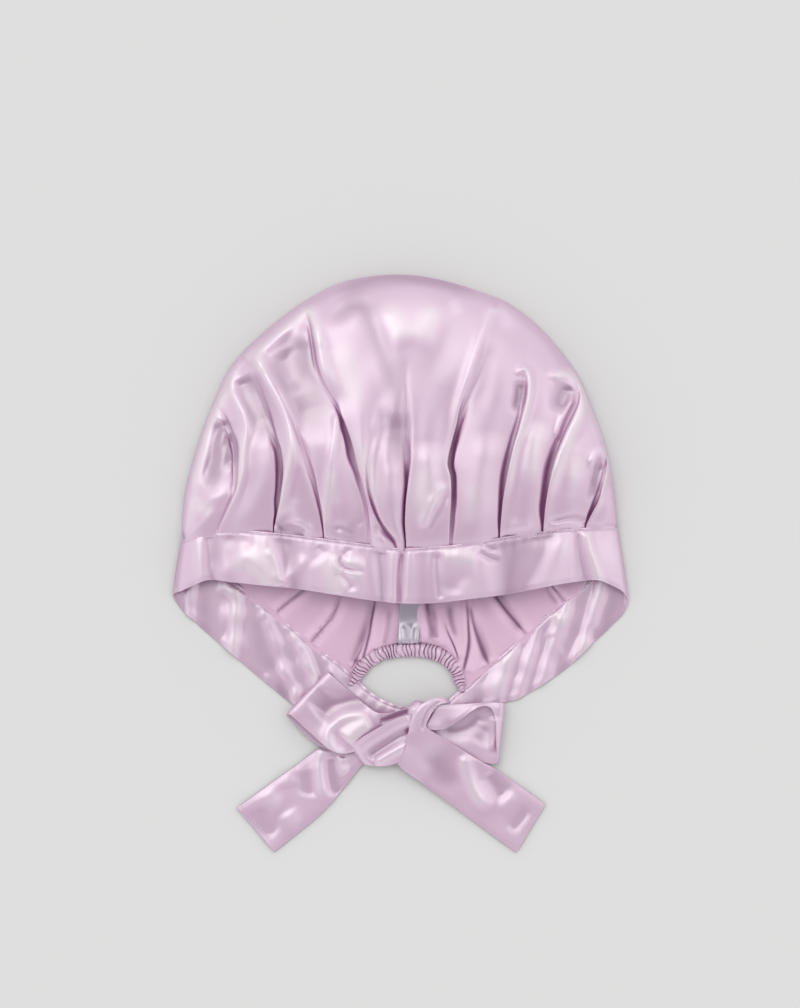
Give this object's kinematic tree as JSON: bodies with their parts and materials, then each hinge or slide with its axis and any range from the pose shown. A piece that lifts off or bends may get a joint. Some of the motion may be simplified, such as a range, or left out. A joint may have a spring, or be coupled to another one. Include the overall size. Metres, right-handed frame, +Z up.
{
  "type": "satin tie bonnet",
  "caption": "Satin hair bonnet lying flat: pleated crown on a folded brow band, ruched elastic nape edge, sewn label, and two ties in a bow. Mouth opens; label, bow loops and tails lift.",
  "frame": {"origin": "on the table under the middle of the bonnet's outline, lying flat", "axes": "+Y towards the crown's top, +X to the right seen from above with the crown up, +Z up from the table"},
  "size_m": [0.3, 0.382, 0.0322],
  "materials": {
    "satin": "lilac polyester satin, soft broad sheen",
    "satin_reverse": "matte reverse of the lilac satin",
    "sewing_thread": "spun polyester thread dyed to match",
    "label_satin": "silver-grey woven satin tag, bare",
    "elastic": "white braided elastic"
  },
  "bodies": {
    "cap_back": {"crown_back": "satin_reverse", "left_side_band": "satin", "right_side_band": "satin", "left_seam_thread": "sewing_thread", "right_seam_thread": "sewing_thread", "nape_casing": "satin", "nape_elastic": "elastic", "nape_thread": "sewing_thread", "left_tie": "satin", "right_tie": "satin", "bow_knot": "satin", "left_tail_neck": "satin", "right_tail_neck": "satin"},
    "cap_front": {"crown_front": "satin", "brow_band": "satin", "brow_seam_thread": "sewing_thread"},
    "label": {"sewn_label": "label_satin", "label_thread": "sewing_thread"},
    "left_loop": {"bow_left_loop": "satin"},
    "right_loop": {"bow_right_loop": "satin"},
    "left_tail_end": {"left_tail": "satin", "left_hem_thread": "sewing_thread"},
    "right_tail_end": {"right_tail": "satin", "right_hem_thread": "sewing_thread"}
  },
  "joints": [
    {"name": "mouth_open", "type": "hinge", "parent": "cap_back", "child": "cap_front", "pos_m": [0, 0.1908, 0.00115], "axis": [-1, 0, 0], "range_deg": [0, 30]},
    {"name": "label_flip", "type": "hinge", "parent": "cap_back", "child": "label", "pos_m": [0.0057, -0.04878, 0.0021], "axis": [1, 0, 0], "range_deg": [0, 100]},
    {"name": "left_loop_lift", "type": "hinge", "parent": "cap_back", "child": "left_loop", "pos_m": [-0.00295, -0.09727, 0.0108], "axis": [0.2588, 0.9659, 0], "range_deg": [0, 60]},
    {"name": "right_loop_lift", "type": "hinge", "parent": "cap_back", "child": "right_loop", "pos_m": [0.02698, -0.09962, 0.0108], "axis": [-0.5736, -0.8192, 0], "range_deg": [0, 60]},
    {"name": "left_tail_lift", "type": "hinge", "parent": "cap_back", "child": "left_tail_end", "pos_m": [-0.04547, -0.13464, 0.0016], "axis": [-0.6293, 0.7771, 0], "range_deg": [0, 75]},
    {"name": "right_tail_lift", "type": "hinge", "parent": "cap_back", "child": "right_tail_end", "pos_m": [0.01759, -0.12376, 0.009], "axis": [-0.5736, -0.8192, 0], "range_deg": [0, 75]}
  ]
}
